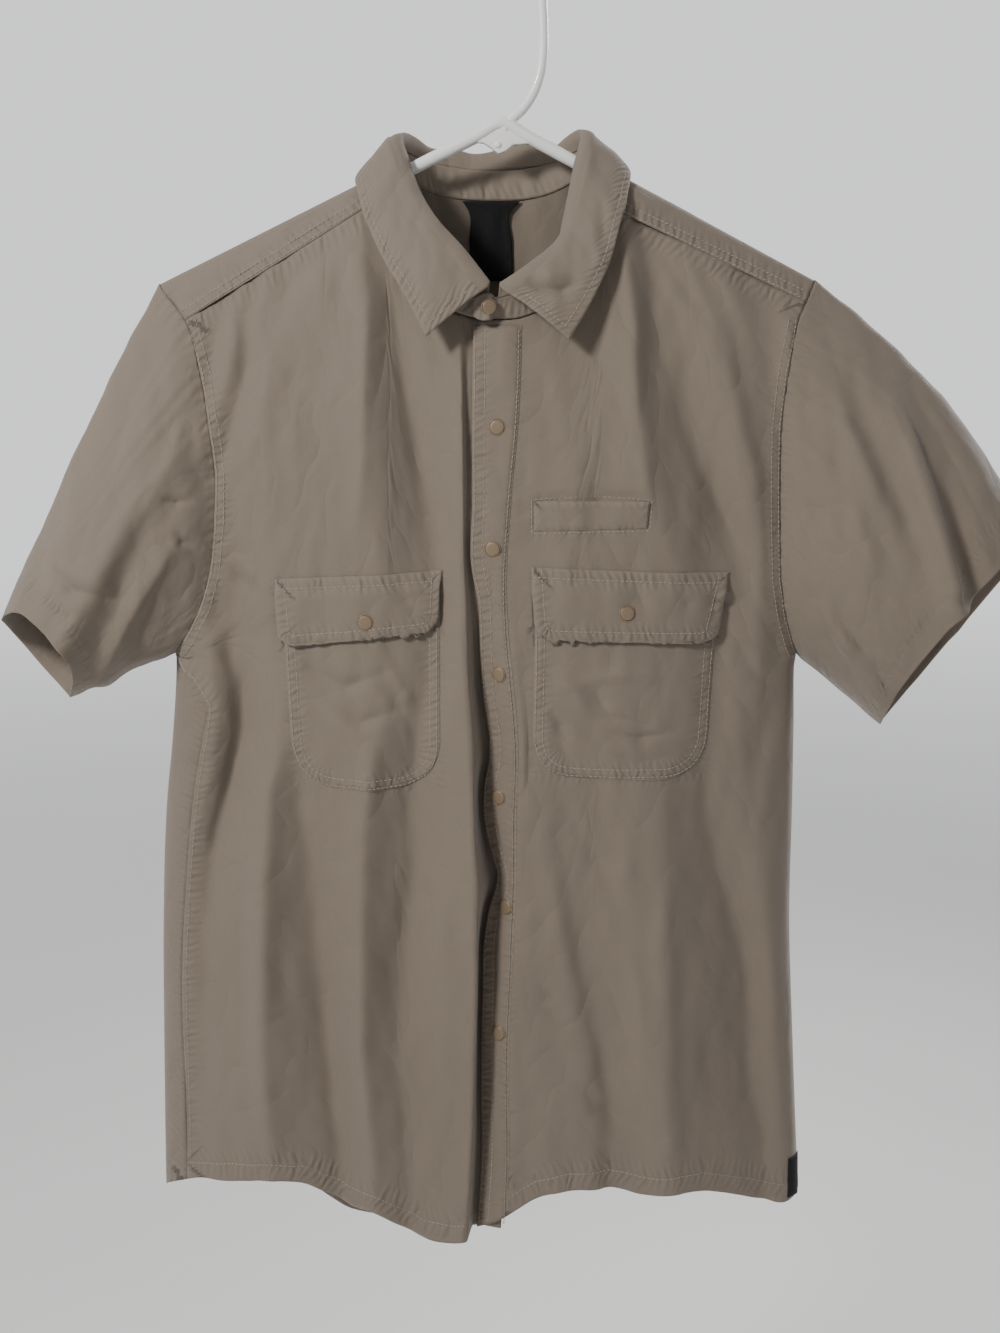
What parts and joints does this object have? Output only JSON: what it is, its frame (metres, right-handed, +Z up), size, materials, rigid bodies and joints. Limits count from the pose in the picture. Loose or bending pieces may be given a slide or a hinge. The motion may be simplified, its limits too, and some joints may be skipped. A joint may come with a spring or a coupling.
{
  "type": "short-sleeved snap-front shirt on a hanger",
  "caption": "Short-sleeved collared shirt with a snapped front placket, flapped chest pockets and a narrow welt pocket, hanging on a plain plastic tube hanger.",
  "frame": {"origin": "inner top of the hanger's hook, where it rests on a rail", "axes": "+Z up along the garment's length, +Y towards its back, +X to the right of someone who faces its front; the hanger lies in the plane Y = 0"},
  "size_m": [0.7315, 0.1231, 0.9503],
  "materials": {
    "cloth": "matt taupe plain weave with slightly lighter topstitching",
    "snap_metal": "satin bronze-taupe domed caps",
    "label_tape": "bare black woven tape",
    "hanger_plastic": "smooth white plastic tube"
  },
  "bodies": {
    "root": {"front_right": "cloth", "front_left": "cloth", "back_panel": "cloth", "yoke": "cloth", "sleeve_right": "cloth", "sleeve_left": "cloth", "collar_stand": "cloth", "collar": "cloth", "front_placket": "cloth", "pocket_right": "cloth", "pocket_left": "cloth", "flap_right": "cloth", "flap_left": "cloth", "pen_pocket_welt": "cloth", "snap_front_1": "snap_metal", "snap_front_2": "snap_metal", "snap_front_3": "snap_metal", "snap_front_4": "snap_metal", "snap_front_5": "snap_metal", "snap_front_6": "snap_metal", "snap_front_7": "snap_metal", "snap_pocket_right": "snap_metal", "snap_pocket_left": "snap_metal", "side_label": "label_tape", "neck_label": "label_tape", "hanger": "hanger_plastic"}
  },
  "joints": []
}
